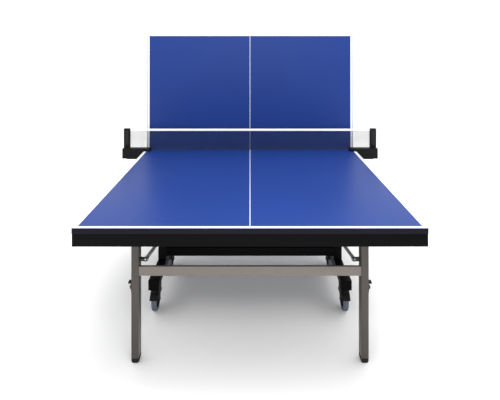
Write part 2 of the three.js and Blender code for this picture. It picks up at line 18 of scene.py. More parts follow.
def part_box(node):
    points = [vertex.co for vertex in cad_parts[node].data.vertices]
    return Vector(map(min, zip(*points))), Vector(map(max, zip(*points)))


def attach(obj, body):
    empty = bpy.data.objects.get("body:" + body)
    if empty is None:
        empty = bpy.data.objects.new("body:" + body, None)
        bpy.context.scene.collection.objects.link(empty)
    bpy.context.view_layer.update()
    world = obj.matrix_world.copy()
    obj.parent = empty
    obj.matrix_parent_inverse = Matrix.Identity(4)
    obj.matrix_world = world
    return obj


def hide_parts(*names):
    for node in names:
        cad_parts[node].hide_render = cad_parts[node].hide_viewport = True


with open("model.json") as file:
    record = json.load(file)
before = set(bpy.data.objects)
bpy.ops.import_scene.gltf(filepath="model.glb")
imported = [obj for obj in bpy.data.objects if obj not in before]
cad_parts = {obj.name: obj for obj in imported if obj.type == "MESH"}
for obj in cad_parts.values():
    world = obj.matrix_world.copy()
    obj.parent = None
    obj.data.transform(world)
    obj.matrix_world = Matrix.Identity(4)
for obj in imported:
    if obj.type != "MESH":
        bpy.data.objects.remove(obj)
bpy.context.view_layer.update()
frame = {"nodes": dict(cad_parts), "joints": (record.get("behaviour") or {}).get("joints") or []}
JOINTS = {joint["name"]: joint for joint in frame["joints"]}

# %% [markdown]
# ## Where things are
# Both halves are the same object turned round, so every piece is drawn once in the half's own
# flat frame: x across, y outward from the net, z up. A matrix then lays it on the near or the far
# half. The alternative, world coordinates for each copy, would write every piece twice.


# %% Frames of the two halves
def joint_at(name):
    return Vector(JOINTS[name]["pos_m"])


def laid(x_axis, y_axis, z_axis, origin):
    columns = [Vector(x_axis), Vector(y_axis), Vector(z_axis), Vector(origin)]
    rows = [[column[i] for column in columns] for i in range(3)]
    return Matrix(rows + [[0, 0, 0, 1]])


TURNED = ((-1, 0, 0), (0, -1, 0), (0, 0, 1))
STRAIGHT = ((1, 0, 0), (0, 1, 0), (0, 0, 1))
UPENDED = ((1, 0, 0), (0, 0, 1), (0, -1, 0))

board_low, board_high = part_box("near_tabletop")
far_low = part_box("far_tabletop")[0]
net_line = board_high.y
surface_height = board_high.z
pivot_out = net_line - joint_at("near_top_tilt").y
far_line = joint_at("far_top_tilt").y - pivot_out

HALVES = ("near", "far")
SIGNS = (-1, 1)
ON_TOP = {
    "near": laid(*TURNED, (0, net_line, surface_height)),
    "far": laid(*UPENDED, (0, far_low.y, far_low.z)),
}
ON_CARRIAGE = {
    "near": laid(*TURNED, (0, net_line, 0)),
    "far": laid(*STRAIGHT, (0, far_line, 0)),
}
ON_LEGS = {
    "near": laid(*TURNED, joint_at("near_leg_fold")),
    "far": laid(*STRAIGHT, joint_at("far_leg_fold")),
}


def side(half, sign):
    """The word for the side that a local sign is on, as seen from the near end."""
    return "left" if sign * (-1 if half == "near" else 1) < 0 else "right"


BOARD_THICK = board_high.z - board_low.z
HALF_WIDTH = board_high.x
HALF_LENGTH = board_high.y - board_low.y
print("net line at", round(net_line, 4), "far half stands", round(far_line - net_line, 4), "behind")

# %% [markdown]
# ## Camera
# A catalogue camera is held level, so upright things stay upright, and the lens is slid down to
# bring the legs into the picture. Blender's lens shift does just that. Tilting the camera instead
# would make the legs lean together and pull the feet up in the frame.

# %% Camera
EYE = Vector((0.0, -3.014, 1.5655))
LENS = 32.68
LENS_SLIDE = -0.322

camera_data = bpy.data.cameras.new("camera")
camera_data.lens = LENS
camera_data.sensor_width = 36
camera_data.shift_y = LENS_SLIDE
camera = bpy.data.objects.new("camera", camera_data)
camera.location = EYE
camera.rotation_euler = (math.radians(90), 0, 0)
bpy.context.scene.collection.objects.link(camera)
bpy.context.scene.camera = camera

# %% [markdown]
# ## Making meshes
# Three small tools cover almost every hard part. `block` is a box with rounded edges, `turned`
# spins a profile on a lathe, and `plate` cuts a flat shape and rounds its rim. They return a
# bmesh, so shapes can be joined before they become an object.


# %% Mesh tools
def block(low, high, round_by=0.0, segments=2):
    bm = bmesh.new()
    bmesh.ops.create_cube(bm, size=1)
    low, high = Vector(low), Vector(high)
    size = high - low
    for vert in bm.verts:
        vert.co = (low + high) / 2 + Vector([vert.co[i] * size[i] for i in range(3)])
    if round_by:
        bmesh.ops.bevel(
            bm, geom=bm.edges[:], offset=round_by, segments=segments, affect="EDGES", profile=0.5,
            clamp_overlap=True,
        )
    return bm


def ring_faces(bm, first, second):
    count = len(first)
    return [
        bm.faces.new((first[i], first[(i + 1) % count], second[(i + 1) % count], second[i]))
        for i in range(count)
    ]


def turned(profile, steps=32, axis="X"):
    """A lathe turning of (radius, height) points; radius 0 closes an end."""
    bm = bmesh.new()
    rings = []
    for radius, height in profile:
        if radius < 1e-7:
            rings.append([bm.verts.new((0, 0, height))])
            continue
        angles = [2 * math.pi * i / steps for i in range(steps)]
        rings.append([
            bm.verts.new((radius * math.cos(a), radius * math.sin(a), height)) for a in angles
        ])
    for first, second in zip(rings, rings[1:]):
        if len(first) == 1:
            for i in range(steps):
                bm.faces.new((first[0], second[(i + 1) % steps], second[i]))
        elif len(second) == 1:
            for i in range(steps):
                bm.faces.new((first[i], first[(i + 1) % steps], second[0]))
        else:
            ring_faces(bm, first, second)
    if axis == "X":
        bm.transform(Matrix.Rotation(math.radians(90), 4, "Y"))
    elif axis == "Y":
        bm.transform(Matrix.Rotation(math.radians(-90), 4, "X"))
    bmesh.ops.recalc_face_normals(bm, faces=bm.faces)
    return bm


def plate(outline, thickness, round_by=0.0, segments=2):
    """A flat shape in the YZ plane, centred on x = 0, with its rim rounded."""
    bm = bmesh.new()
    face = bm.faces.new([bm.verts.new((-thickness / 2, y, z)) for y, z in outline])
    grown = bmesh.ops.extrude_face_region(bm, geom=[face])["geom"]
    moved = [item for item in grown if isinstance(item, bmesh.types.BMVert)]
    bmesh.ops.translate(bm, vec=(thickness, 0, 0), verts=moved)
    bmesh.ops.recalc_face_normals(bm, faces=bm.faces)
    if round_by:
        rims = [e for e in bm.edges if abs(e.verts[0].co.x - e.verts[1].co.x) < 1e-6]
        bmesh.ops.bevel(bm, geom=rims, offset=round_by, segments=segments, affect="EDGES", profile=0.5)
    return bm


def moved(bm, offset):
    bm.transform(Matrix.Translation(Vector(offset)))
    return bm


def together(parts):
    """One bmesh that holds all the given ones."""
    whole = bmesh.new()
    for part in parts:
        mesh = bpy.data.meshes.new("part")
        part.to_mesh(mesh)
        part.free()
        whole.from_mesh(mesh)
        bpy.data.meshes.remove(mesh)
    return whole


def arc(centre, radius, start, end, steps=8):
    """Points along part of a circle, with angles in degrees."""
    angles = [math.radians(start + (end - start) * i / steps) for i in range(steps + 1)]
    return [(centre[0] + radius * math.cos(a), centre[1] + radius * math.sin(a)) for a in angles]


# %% [markdown]
# A piece is a mesh that rides on one body of the model. Smooth shading is kept to faces that meet
# at a shallow angle, so round things look round and edges stay crisp.

# %% Piece maker
CREASE = math.radians(38)


def piece(name, bm, laid_by, body, materials, replaces=()):
    bm.transform(laid_by)
    if laid_by.determinant() < 0:
        bmesh.ops.reverse_faces(bm, faces=bm.faces)
    mesh = bpy.data.meshes.new(name)
    bm.to_mesh(mesh)
    bm.free()
    for material in materials:
        mesh.materials.append(material)
    for polygon in mesh.polygons:
        polygon.use_smooth = True
    mesh.set_sharp_from_angle(angle=CREASE)
    made = bpy.data.objects.new(name, mesh)
    bpy.context.scene.collection.objects.link(made)
    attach(made, body)
    if replaces:
        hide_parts(*replaces)
    return made


# %% [markdown]
# ## Finishes
# Every finish starts from one recipe: a Principled shader whose colour and roughness drift a
# little with soft noise, and whose surface carries a fine bump. The scale of each noise is what
# makes powder coat, rubber and lacquer look different.


# %% Finish recipe
def finish(name, colour, drift=0.12, drift_scale=3.0, roughness=0.5, spread=0.06, metallic=0.0,
           grain_scale=900.0, grain=0.05, specular=0.5, sheen=0.0, stretch=(1, 1, 1)):
    material = bpy.data.materials.new(name)
    material.use_nodes = True
    nodes, links = material.node_tree.nodes, material.node_tree.links
    shader = nodes["Principled BSDF"]
    shader.inputs["Metallic"].default_value = metallic
    shader.inputs["Specular IOR Level"].default_value = specular
    shader.inputs["Sheen Weight"].default_value = sheen
    place = nodes.new("ShaderNodeTexCoord")
    stretched = nodes.new("ShaderNodeMapping")
    stretched.inputs["Scale"].default_value = stretch
    links.new(place.outputs["Object"], stretched.inputs["Vector"])

    patches = nodes.new("ShaderNodeTexNoise")
    patches.inputs["Scale"].default_value = drift_scale
    patches.inputs["Detail"].default_value = 4
    links.new(stretched.outputs["Vector"], patches.inputs["Vector"])
    shades = nodes.new("ShaderNodeMix")
    shades.data_type = "RGBA"
    shades.inputs["A"].default_value = (*[c * (1 - drift) for c in colour], 1)
    shades.inputs["B"].default_value = (*[min(1, c * (1 + drift)) for c in colour], 1)
    links.new(patches.outputs["Fac"], shades.inputs["Factor"])
    links.new(shades.outputs["Result"], shader.inputs["Base Color"])

    gloss = nodes.new("ShaderNodeMapRange")
    gloss.inputs["To Min"].default_value = roughness - spread
    gloss.inputs["To Max"].default_value = roughness + spread
    links.new(patches.outputs["Fac"], gloss.inputs["Value"])
    links.new(gloss.outputs["Result"], shader.inputs["Roughness"])

    specks = nodes.new("ShaderNodeTexNoise")
    specks.inputs["Scale"].default_value = grain_scale
    specks.inputs["Detail"].default_value = 2
    links.new(stretched.outputs["Vector"], specks.inputs["Vector"])
    bump = nodes.new("ShaderNodeBump")
    bump.inputs["Strength"].default_value = grain
    bump.inputs["Distance"].default_value = 0.0004
    links.new(specks.outputs["Fac"], bump.inputs["Height"])
    links.new(bump.outputs["Normal"], shader.inputs["Normal"])
    return material


# %% [markdown]
# The playing surface is a matt polyurethane lacquer rolled on blue. It hides glare but still
# picks up a veil of light at a low angle. The lines are a thicker white screen print.

# %% Finishes of the board
playing_blue = finish("playing_blue", (0.0095, 0.036, 0.195), drift=0.12, drift_scale=1.1, roughness=0.42,
                      spread=0.04, grain_scale=520, grain=0.10, specular=0.18)
line_white = finish("line_white", (0.86, 0.87, 0.88), drift=0.02, drift_scale=9, roughness=0.45, grain=0.04)
line_shaded = finish("line_shaded", (0.52, 0.55, 0.60), drift=0.03, drift_scale=9, roughness=0.5, grain=0.04)
edge_black = finish("edge_black", (0.005, 0.005, 0.008), drift=0.15, drift_scale=14, roughness=0.34,
                    spread=0.05, grain_scale=1300, grain=0.05, specular=0.08)
board_back = finish("board_back", (0.045, 0.047, 0.052), drift=0.25, drift_scale=26, roughness=0.7,
                    grain_scale=300, grain=0.25, stretch=(1, 3, 1))

# %% [markdown]
# Steel parts are powder coated: black on the frames, a warm grey with metal flake on the legs.
# Powder leaves a fine orange peel, so its bump is softer and wider than that of moulded plastic.

# %% Finishes of steel, plastic and rubber
frame_black = finish("frame_black", (0.0018, 0.0018, 0.0020), drift=0.2, drift_scale=11, roughness=0.46,
                     spread=0.07, grain_scale=700, grain=0.12, specular=0.05)
leg_grey = finish("leg_grey", (0.060, 0.052, 0.046), drift=0.10, drift_scale=18, roughness=0.42, spread=0.07,
                  metallic=0.45, grain_scale=1500, grain=0.14)
bar_grey = finish("bar_grey", (0.160, 0.139, 0.124), drift=0.10, drift_scale=18, roughness=0.40, spread=0.07,
                  metallic=0.45, grain_scale=1500, grain=0.14)
link_zinc = finish("link_zinc", (0.42, 0.42, 0.41), drift=0.18, drift_scale=40, roughness=0.33, spread=0.08,
                   metallic=0.95, grain_scale=600, grain=0.08, stretch=(1, 0.15, 1))
bolt_steel = finish("bolt_steel", (0.50, 0.50, 0.49), drift=0.15, drift_scale=90, roughness=0.28, spread=0.08,
                    metallic=1.0, grain_scale=1500, grain=0.06)
moulded_black = finish("moulded_black", (0.004, 0.004, 0.005), drift=0.15, drift_scale=30, roughness=0.46,
                       grain_scale=1600, grain=0.22, specular=0.12)
# Lighter grey of the post strips: a painted highlight on the black net post.
post_highlight_grey = finish("post_highlight_grey", (0.012, 0.012, 0.013), drift=0.1, drift_scale=22, roughness=0.40,
                   grain_scale=900, grain=0.08, specular=0.15)
tread_grey = finish("tread_grey", (0.088, 0.098, 0.135), drift=0.18, drift_scale=60, roughness=0.62,
                    grain_scale=1100, grain=0.3)
foot_rubber = finish("foot_rubber", (0.006, 0.006, 0.006), drift=0.3, drift_scale=70, roughness=0.7,
                     grain_scale=1200, grain=0.4, specular=0.2)

# %% [markdown]
# ## The board
# A real half is a slab of pressed wood with a black edge band and screen-printed lines. The lines
# could be painted by a texture, but cutting the top face along them keeps them sharp at any
# distance and gives each its own lacquer.

# %% Boards with their lines
LINE = 0.020  # regulation end and side lines
LINE_OUTER = 0.008  # outer part of a side line, which rolls over the board's edge
CENTRE_LINE = 0.003
BOARD_CORNER = 0.006
EDGE_ROUND = 0.0012
BLUE, WHITE, SHADED, BAND, BACK = range(5)


def board_mesh():
    w, centre = HALF_WIDTH, CENTRE_LINE / 2
    across = [-w, -w + LINE_OUTER, -w + LINE, -centre, centre, w - LINE, w - LINE_OUTER, w]
    column_paint = [SHADED, WHITE, BLUE, WHITE, BLUE, WHITE, SHADED]
    along = [0, HALF_LENGTH - LINE, HALF_LENGTH]
    bm = bmesh.new()
    layers = []
    for height in (0, -BOARD_THICK):
        layers.append([[bm.verts.new((x, y, height)) for x in across] for y in along])
    top, under = layers
    for row in range(len(along) - 1):
        for column, paint in enumerate(column_paint):
            corners = [(row, column), (row, column + 1), (row + 1, column + 1), (row + 1, column)]
            face = bm.faces.new([top[r][c] for r, c in corners])
            face.material_index = WHITE if row == 1 else paint
            face = bm.faces.new([under[r][c] for r, c in reversed(corners)])
            face.material_index = BACK
    rim = [(0, c) for c in range(len(across))]
    rim += [(r, len(across) - 1) for r in range(1, len(along))]
    rim += [(len(along) - 1, c) for c in range(len(across) - 2, -1, -1)]
    rim += [(r, 0) for r in range(len(along) - 2, 0, -1)]
    for (r0, c0), (r1, c1) in zip(rim, rim[1:] + rim[:1]):
        face = bm.faces.new((top[r0][c0], under[r0][c0], under[r1][c1], top[r1][c1]))
        face.material_index = BAND
    bmesh.ops.recalc_face_normals(bm, faces=bm.faces)
    uprights = [
        e for e in bm.edges
        if abs(e.verts[0].co.z - e.verts[1].co.z) > 1e-4
        and abs(abs(e.verts[0].co.x) - w) < 1e-6
        and min(e.verts[0].co.y, HALF_LENGTH - e.verts[0].co.y) < 1e-6
    ]
    bmesh.ops.bevel(bm, geom=uprights, offset=BOARD_CORNER, segments=5, affect="EDGES", profile=0.5)
    edges = [
        e for e in bm.edges
        if len({f.material_index == BAND for f in e.link_faces}) == 2
    ]
    bmesh.ops.bevel(bm, geom=edges, offset=EDGE_ROUND, segments=2, affect="EDGES", profile=0.5)
    for face in bm.faces:
        if face.calc_center_median().z < -EDGE_ROUND * 2 and face.material_index != BACK:
            face.material_index = BAND
    return bm


for half in HALVES:
    board = piece(
        f"{half}_playing_board", board_mesh(), ON_TOP[half], f"{half}_top",
        [playing_blue, line_white, line_shaded, edge_black, board_back], [f"{half}_tabletop"],
    )
    print(board.name, len(board.data.polygons), "faces")

# %% [markdown]
# ## Steelwork
# The frames, legs, beams and arms already have the right shape in the CAD model. What a mill part
# lacks is the soft radius that folding and coating leave on every edge. A modifier stack rounds
# them without touching the CAD mesh: weld the split corners, merge flat triangles, then bevel.


# %% Dress the CAD steelwork
def dress(node, material, round_by, segments=2):
    made = frame["nodes"][node]
    made.data.materials.clear()
    made.data.materials.append(material)
    for polygon in made.data.polygons:
        polygon.use_smooth = True
    weld = made.modifiers.new("weld", "WELD")
    weld.merge_threshold = 0.00002
    flats = made.modifiers.new("flats", "DECIMATE")
    flats.decimate_type = "DISSOLVE"
    flats.angle_limit = math.radians(1)
    rounded = made.modifiers.new("rounded", "BEVEL")
    rounded.width = round_by
    rounded.segments = segments
    rounded.limit_method = "ANGLE"
    rounded.angle_limit = math.radians(50)
    rounded.harden_normals = True
    made.data.set_sharp_from_angle(angle=CREASE)
    return made


for half in HALVES:
    dress(f"{half}_top_frame", frame_black, 0.0012)
    dress(f"{half}_middle_beam", frame_black, 0.003, 3)
    dress(f"{half}_net_side_beam", frame_black, 0.003, 3)
    dress(f"{half}_leg_crossbar", bar_grey, 0.0022, 3)
    for label in ("left", "right"):
        dress(f"{half}_side_frame_{label}", frame_black, 0.0022, 3)
        dress(f"{half}_pivot_arm_{label}", frame_black, 0.001)
        dress(f"{half}_leg_{label}", leg_grey, 0.0022, 3)
        dress(f"{half}_link_{label}", link_zinc, 0.0012)
        dress(f"{half}_catch_{label}", moulded_black, 0.0008)
for label in ("left", "right"):
    dress(f"net_post_{label}", moulded_black, 0.0025, 3)

# %% [markdown]
# ## Casters
# A furniture caster of this size is a black moulded hood over a grey tyre. The hood is a channel
# swept round the wheel: its roof follows the tyre and its two skirts end on a level line. A sweep
# gives that directly, where a box cut by cylinders would leave ragged edges.

# %% Caster sizes from the CAD
wheel_low, wheel_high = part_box("near_wheel_end_left")
WHEEL_R = (wheel_high.z - wheel_low.z) / 2
WHEEL_W = wheel_high.x - wheel_low.x
STEM = joint_at("swivel_near_end_left")
AXLE = joint_at("wheel_near_end_left")
TRAIL = abs(STEM.y - AXLE.y)
FRAME_X = abs(STEM.x)
HOOD_W = 0.046
HOOD_IN = WHEEL_R + 0.0035
HOOD_OUT = HOOD_IN + 0.0045
SKIRT_Z = 0.084
HEAD_TOP = 0.1438
print("wheel radius", WHEEL_R, "width", round(WHEEL_W, 4), "trail", round(TRAIL, 4))


# %% Hood, drawn about its swivel axis with the wheel trailing towards -y
def hood_shell():
    bm = bmesh.new()
    rise = SKIRT_Z - AXLE.z
    first = math.asin(rise / HOOD_OUT) + 0.02
    steps = 28
    wall = HOOD_OUT - HOOD_IN
    half_w = HOOD_W / 2
    soft = 0.003
    rings = []
    for i in range(steps + 1):
        angle = first + (math.pi - 2 * first) * i / steps
        skirt = min(rise / math.sin(angle), HOOD_IN - 0.0005)
        shape = [(skirt, -half_w), (HOOD_OUT - soft, -half_w)]
        shape += [(HOOD_OUT - soft * 0.3, -half_w + soft * 0.3), (HOOD_OUT, -half_w + soft)]
        shape += [(HOOD_OUT, half_w - soft), (HOOD_OUT - soft * 0.3, half_w - soft * 0.3)]
        shape += [(HOOD_OUT - soft, half_w), (skirt, half_w), (skirt, half_w - wall)]
        shape += [(HOOD_IN, half_w - wall), (HOOD_IN, -half_w + wall), (skirt, -half_w + wall)]
        rings.append([
            bm.verts.new((x, -TRAIL + r * math.cos(angle), AXLE.z + r * math.sin(angle)))
            for r, x in shape
        ])
    for one, two in zip(rings, rings[1:]):
        ring_faces(bm, one, two)
    for end in (rings[0], rings[-1]):
        bm.faces.new(end)
    bmesh.ops.recalc_face_normals(bm, faces=bm.faces)
    return bm


def hood_cheek(sign):
    eye, neck, top = 0.0145, 0.017, SKIRT_Z + 0.008
    outline = arc((-TRAIL, AXLE.z), eye, 180, 360, 12)
    outline += [(-TRAIL + neck + 0.004, top - 0.004), (-TRAIL + neck, top)]
    outline += [(-TRAIL - neck, top), (-TRAIL - neck - 0.004, top - 0.004)]
    return moved(plate(outline, 0.0056, 0.0009), (sign * (HOOD_W / 2 - 0.002), 0, 0))


def swivel_head():
    base = WHEEL_R * 2 - 0.002
    profile = [(0, base - 0.006), (0.0225, base - 0.006), (0.0225, base + 0.004), (0.0255, base + 0.006)]
    profile += [(0.0258, base + 0.0105), (0.0240, base + 0.0115), (0.0240, base + 0.0130)]
    profile += [(0.0258, base + 0.0140), (0.0258, HEAD_TOP - 0.001), (0.0248, HEAD_TOP), (0, HEAD_TOP)]
    return turned(profile, 40, "Z")


def brake_pedal():
    outline = [(0.0, 0.0), (0.020, 0.004), (0.034, 0.0), (0.036, -0.004), (0.034, -0.006), (0.019, -0.002)]
    outline += [(0.0, -0.006)]
    bm = plate(outline, 0.030, 0.0012)
    bm.transform(Matrix.Rotation(math.radians(180), 4, "Z"))
    angle = math.radians(148)
    place = (0, -TRAIL + HOOD_OUT * math.cos(angle) + 0.004, AXLE.z + HOOD_OUT * math.sin(angle))
    ribs = [
        moved(block((-0.013, -0.0008, 0), (0.013, 0.0008, 0.0012), 0.0003), (0, -0.024 - 0.003 * i, 0.0022))
        for i in range(3)
    ]
    return moved(together([bm] + ribs), place)


def axle_ends():
    reach = HOOD_W / 2 + 0.0012
    head = [(0, 0), (0.0082, 0), (0.0082, 0.0032), (0.0070, 0.0042), (0.0042, 0.0044)]
    head += [(0.0038, 0.0026), (0, 0.0026)]
    ends = []
    for sign in SIGNS:
        cap = turned(head, 6 if sign > 0 else 24, "X")
        if sign < 0:
            cap.transform(Matrix.Rotation(math.radians(180), 4, "Z"))
        ends.append(moved(cap, (sign * reach, -TRAIL, AXLE.z)))
    return together(ends)


# %% [markdown]
# The tyre is a soft blue-grey ring with rounded shoulders and a fine centre groove. It grips a
# black core with a dished web and raised spokes, which the hood half hides.


# %% Tyre and core, drawn about the same axis
def tyre():
    half_w, r = WHEEL_W / 2, WHEEL_R
    inner = r - 0.016
    shoulder = arc((r - 0.011, half_w - 0.011), 0.011, 90, 0, 6)
    right = [(inner, half_w - 0.002)] + shoulder + [(r, 0.0014), (r - 0.0012, 0)]
    left = [(radius, -across) for radius, across in reversed(right[:-1])]
    profile = right + left + [(inner, -half_w + 0.002), (inner, half_w - 0.002)]
    bm = turned(profile[:-1] + [profile[0]], 72, "X")
    bmesh.ops.remove_doubles(bm, verts=bm.verts, dist=1e-6)
    return moved(bm, (0, -TRAIL, AXLE.z))


def core():
    half_w = WHEEL_W / 2
    rim, web, hub = WHEEL_R - 0.0155, 0.006, 0.0135
    profile = [(0, half_w + 0.001), (hub - 0.002, half_w + 0.001), (hub, half_w - 0.001), (hub + 0.001, web)]
    profile += [(rim - 0.007, web), (rim - 0.005, half_w - 0.004), (rim - 0.001, half_w - 0.0025)]
    profile += [(rim, half_w - 0.004)]
    profile += [(radius, -across) for radius, across in reversed(profile)]
    parts = [turned(profile, 60, "X")]
    for i in range(6):
        spoke = block((-0.0115, -0.0026, hub - 0.003), (0.0115, 0.0026, rim - 0.004), 0.0009)
        spoke.transform(Matrix.Rotation(math.radians(60 * i), 4, "X"))
        parts.append(spoke)
    return moved(together(parts), (0, -TRAIL, AXLE.z))


for half in HALVES:
    for place in ("net", "end"):
        for sign in SIGNS:
            tag = f"{half}_{place}_{side(half, sign)}"
            out = abs(joint_at(f"swivel_{tag}").y - (net_line if half == "near" else far_line))
            at = ON_CARRIAGE[half] @ Matrix.Translation((sign * FRAME_X, out, 0))
            fork = f"{half}_caster_{place}_{side(half, sign)}"
            wheel = f"{half}_wheel_{place}_{side(half, sign)}"
            shell = together([hood_shell(), hood_cheek(-1), hood_cheek(1), swivel_head()])
            piece(f"hood_{tag}", shell, at, fork, [moulded_black], [fork])
            piece(f"brake_pedal_{tag}", brake_pedal(), at, fork, [moulded_black])
            piece(f"axle_bolt_{tag}", axle_ends(), at, fork, [bolt_steel])
            piece(f"tyre_{tag}", tyre(), at, wheel, [tread_grey], [wheel])
            piece(f"wheel_core_{tag}", core(), at, wheel, [moulded_black])
print("casters made")

# %% [markdown]
# ## Feet
# Each leg ends in a black rubber shoe with a rounded toe, on a threaded stud that levels the
# table. The shoe is a box whose lower edge is rounded much more than its upper one.

# %% Feet with their studs
foot_low, foot_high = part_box("near_foot_left")
leg_pivot_height = joint_at("near_leg_fold").z
leg_x = (foot_low.x + foot_high.x) / 2
SHOE_HEIGHT = 0.025


def shoe(x):
    half_w, half_d = (foot_high.x - foot_low.x) / 2, (foot_high.y - foot_low.y) / 2
    bm = bmesh.new()
    bmesh.ops.create_cube(bm, size=1)
    for vert in bm.verts:
        vert.co = Vector((vert.co.x * 2 * half_w, vert.co.y * 2 * half_d, (vert.co.z + 0.5) * SHOE_HEIGHT))
    uprights = [e for e in bm.edges if abs(e.verts[0].co.z - e.verts[1].co.z) > 0.01]
    bmesh.ops.bevel(bm, geom=uprights, offset=0.009, segments=5, affect="EDGES", profile=0.5)
    sole = [e for e in bm.edges if max(v.co.z for v in e.verts) < 1e-5]
    bmesh.ops.bevel(bm, geom=sole, offset=0.013, segments=7, affect="EDGES", profile=0.5)
    lip = [e for e in bm.edges if min(v.co.z for v in e.verts) > SHOE_HEIGHT - 1e-5 and len(e.link_faces) == 2
           and any(f.normal.z < 0.5 for f in e.link_faces)]
    bmesh.ops.bevel(bm, geom=lip, offset=0.0015, segments=2, affect="EDGES", profile=0.5)
    return moved(bm, (x, 0, -leg_pivot_height))


def stud(x):
    low, high = SHOE_HEIGHT - 0.002, foot_high.z - foot_low.z
    turns = 24
    profile = [(0, low)]
    for i in range(turns):
        z = low + (high - 0.002 - low) * i / turns
        profile += [(0.0059, z), (0.0051, z + (high - low) / turns / 2)]
    profile += [(0.0045, high - 0.0005), (0, high)]
    return moved(turned(profile, 20, "Z"), (x, 0, -leg_pivot_height))


for half in HALVES:
    for sign in SIGNS:
        label = side(half, sign)
        body = f"{half}_foot_{label}"
        foot_shoe = shoe(sign * abs(leg_x))
        piece(f"shoe_{half}_{label}", foot_shoe, ON_LEGS[half], body, [foot_rubber], [body])
        piece(f"stud_{half}_{label}", stud(sign * abs(leg_x)), ON_LEGS[half], body, [bolt_steel])

# %% [markdown]
# ## Pivot screws
# Pivots on a table like this are cap screws with a washer, and open tube ends are plugged. The
# screws are small, but a frame without them reads as a drawing.


# %% Screw heads on every pivot
SEATED = 0.0006  # how far a screw head sinks into its seat
CATCH_DROP = 0.288  # catch pivot below the leg pivot


def cap_screw(radius, height):
    socket = radius * 0.45
    profile = [(0, 0), (radius * 1.25, 0), (radius * 1.25, 0.001), (radius, 0.001), (radius, height * 0.6)]
    profile += [(radius * 0.9, height * 0.85), (radius * 0.7, height)]
    profile += [(socket, height), (socket * 0.9, height * 0.5)]
    profile += [(0, height * 0.5)]
    return turned(profile, 24, "X")


def facing(bm, sign):
    if sign < 0:
        bm.transform(Matrix.Rotation(math.radians(180), 4, "Z"))
    return bm


def half_pivots(half):
    """Where the pivot screws sit: the outer and inner x of the side frame, and the board and link pivots in
    the carriage's frame.
    """
    low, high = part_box(f"{half}_side_frame_right")
    outer = high.x
    inner = low.x
    top = ON_CARRIAGE[half].inverted()
    board = top @ joint_at(f"{half}_top_tilt")
    link = top @ joint_at(f"{half}_link_swing")
    return outer, inner, board, link


for half in HALVES:
    outer, inner, board_pivot, link_pivot = half_pivots(half)
    leg_low, leg_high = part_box(f"{half}_leg_right")
    local_link = link_pivot - board_pivot
    for sign in SIGNS:
        label = side(half, sign)
        at_board = (sign * (outer - SEATED), board_pivot.y, board_pivot.z)
        at_link = (sign * (inner + SEATED), link_pivot.y, link_pivot.z)
        screws = [
            moved(facing(cap_screw(0.0105, 0.0055), sign), at_board),
            moved(facing(cap_screw(0.0075, 0.0045), -sign), at_link),
        ]
        piece(f"carriage_screws_{half}_{label}", together(screws), ON_CARRIAGE[half], f"{half}_carriage",
              [bolt_steel])
        at_link = (sign * (leg_low.x + SEATED), local_link.y, local_link.z)
        at_catch = (sign * (leg_high.x - SEATED), 0, -CATCH_DROP)
        leg_screws = [
            moved(facing(cap_screw(0.0075, 0.0045), -sign), at_link),
            moved(facing(cap_screw(0.0072, 0.0042), sign), at_catch),
        ]
        piece(f"leg_screws_{half}_{label}", together(leg_screws), ON_LEGS[half], f"{half}_legs",
              [bolt_steel])

# %% [markdown]
# ## The net
# A match net is knotted from thin dark thread, with a white tape folded over its top and a cord
# through its foot. A flat sheet with a see-through texture would be lighter to build, but it has
# no thickness and loses its holes in other programs, so the threads are real.

# %% Net sizes from the CAD
sheet_low, sheet_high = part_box("net_sheet")
tape_low, tape_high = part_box("net_tape")
THREAD = 0.00135  # width of the flat braid, seen from the front
BRAID = 0.0005  # its thickness
MESH = 0.008
TAPE_WALL = 0.0008
net_dark = finish("net_dark", (0.006, 0.008, 0.022), drift=0.2, drift_scale=40, roughness=0.8,
                  grain_scale=1800, grain=0.3, sheen=0.2)
tape_white = finish("tape_white", (0.84, 0.84, 0.83), drift=0.03, drift_scale=25, roughness=0.75,
                    grain_scale=1400, grain=0.35, sheen=0.3, stretch=(1, 1, 2.5))
NET_WIDE = sheet_high.x - sheet_low.x
NET_TALL = sheet_high.z - sheet_low.z
net_y = (sheet_low.y + sheet_high.y) / 2


# %% Threads, tape, stitches and cord
def thread_bar(bm, low, high):
    corners = [
        bm.verts.new((x, y, z))
        for x in (low[0], high[0]) for y in (low[1], high[1]) for z in (low[2], high[2])
    ]
    quads = [(0, 1, 3, 2), (4, 6, 7, 5), (0, 4, 5, 1), (2, 3, 7, 6), (0, 2, 6, 4), (1, 5, 7, 3)]
    for quad in quads:
        bm.faces.new([corners[i] for i in quad])


def net_threads():
    bm = bmesh.new()
    uprights = round(NET_WIDE / MESH)
    rows = round(NET_TALL / MESH)
    half_t = THREAD / 2
    for i in range(uprights + 1):
        x = sheet_low.x + half_t + (NET_WIDE - THREAD) * i / uprights
        low = (x - half_t, net_y - BRAID / 2, sheet_low.z)
        thread_bar(bm, low, (x + half_t, net_y + BRAID / 2, sheet_high.z))
    for j in range(rows + 1):
        z = sheet_low.z + half_t + (NET_TALL - THREAD) * j / rows
        low = (sheet_low.x, net_y - BRAID * 0.45, z - half_t)
        thread_bar(bm, low, (sheet_high.x, net_y + BRAID * 0.45, z + half_t))
    return bm, (uprights + 1) * NET_TALL + (rows + 1) * NET_WIDE


threads, thread_length = net_threads()
net = piece("net_threads", threads, Matrix.Identity(4), "near_top", [net_dark], ["net_sheet"])
print("net", len(net.data.polygons), "faces,", round(thread_length, 1), "m of thread")


